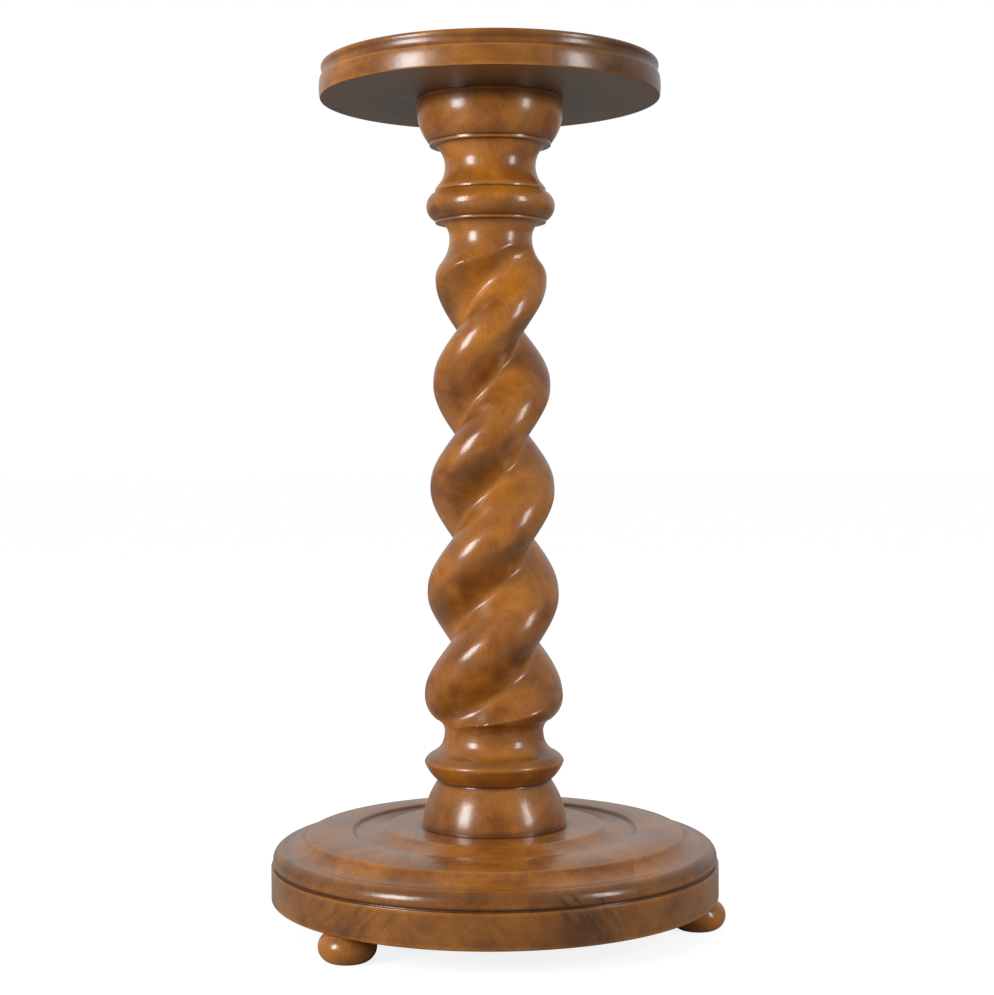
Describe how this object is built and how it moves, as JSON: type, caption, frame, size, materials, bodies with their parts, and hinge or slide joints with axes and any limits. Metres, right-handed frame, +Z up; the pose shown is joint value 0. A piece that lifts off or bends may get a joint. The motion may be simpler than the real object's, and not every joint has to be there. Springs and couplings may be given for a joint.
{
  "type": "plant stand",
  "caption": "Turned wood plant stand: round top, barley-twist column, moulded round base and bun feet, for holding a pot at table height.",
  "frame": {"origin": "on the floor, under the axis of the column", "axes": "+Z up along the axis of the column; -Y towards the front that the picture shows; +X to the right from there"},
  "size_m": [0.3329, 0.331, 0.635],
  "materials": {
    "stained_beech": "stained and varnished, satin gloss",
    "plain_beech": "bare",
    "zinc_steel": "zinc plated"
  },
  "bodies": {
    "root": {"top_board_left": "stained_beech", "top_board_centre": "stained_beech", "top_board_right": "stained_beech", "top_edge_dowels": "plain_beech", "column": "stained_beech", "base_board_left": "stained_beech", "base_board_centre": "stained_beech", "base_board_right": "stained_beech", "base_board_far_right": "stained_beech", "base_edge_dowels": "plain_beech", "foot_front_left": "stained_beech", "foot_right": "stained_beech", "foot_rear": "stained_beech", "coach_screw": "zinc_steel", "coach_screw_washer": "zinc_steel"}
  },
  "joints": []
}
